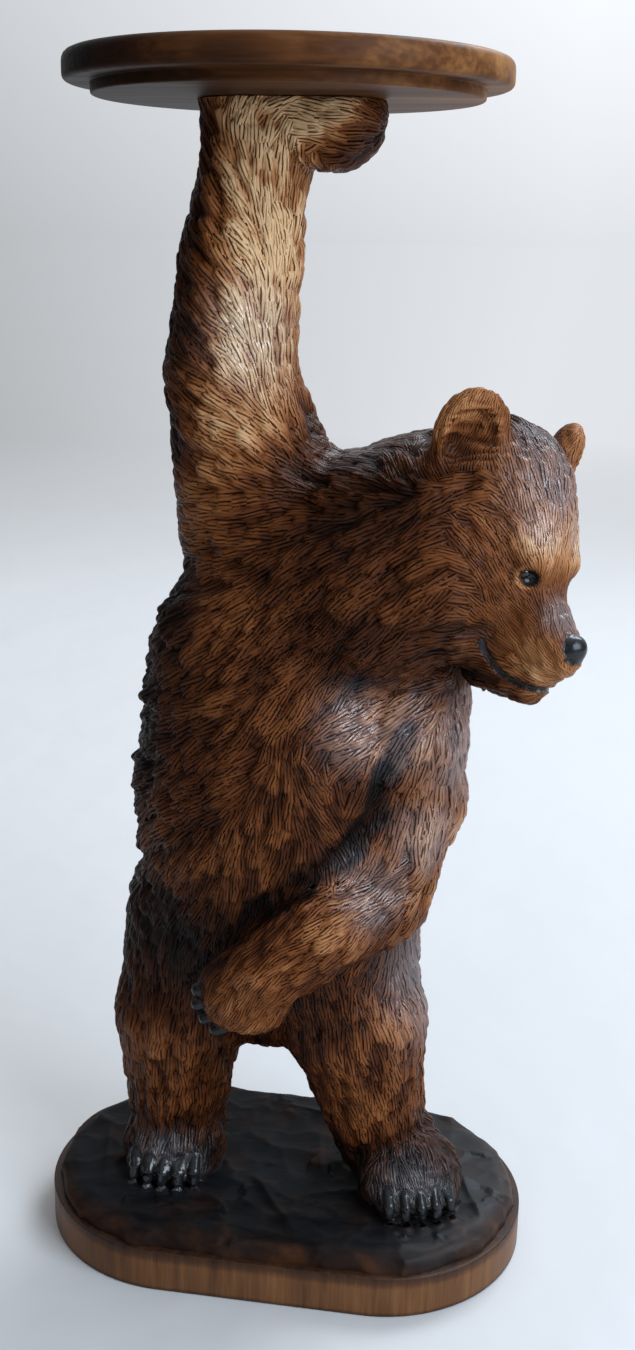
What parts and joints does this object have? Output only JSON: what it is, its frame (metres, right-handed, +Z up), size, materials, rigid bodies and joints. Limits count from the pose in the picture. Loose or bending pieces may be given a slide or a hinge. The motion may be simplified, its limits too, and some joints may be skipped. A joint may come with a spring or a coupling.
{
  "type": "carved wooden bear",
  "caption": "Carved wooden bear standing on an oblong plinth and holding up a round stepped top on one raised paw, a small display stand",
  "frame": {"origin": "centre of the plinth's flat underside", "axes": "+Z up from the underside to the round top, +X along the plinth's long side towards the side that the bear's head turns to, -Y the side that the bear's feet and belly face"},
  "size_m": [0.227, 0.168, 0.5],
  "materials": {
    "stained_carved_wood": "hand carved, stained brown, semi gloss",
    "stained_turned_wood": "turned, stained dark brown, semi gloss",
    "black_glass": "polished, opaque black"
  },
  "bodies": {
    "root": {"bear_with_plinth": "stained_carved_wood", "round_top": "stained_turned_wood", "right_eye": "black_glass", "left_eye": "black_glass"}
  },
  "joints": []
}
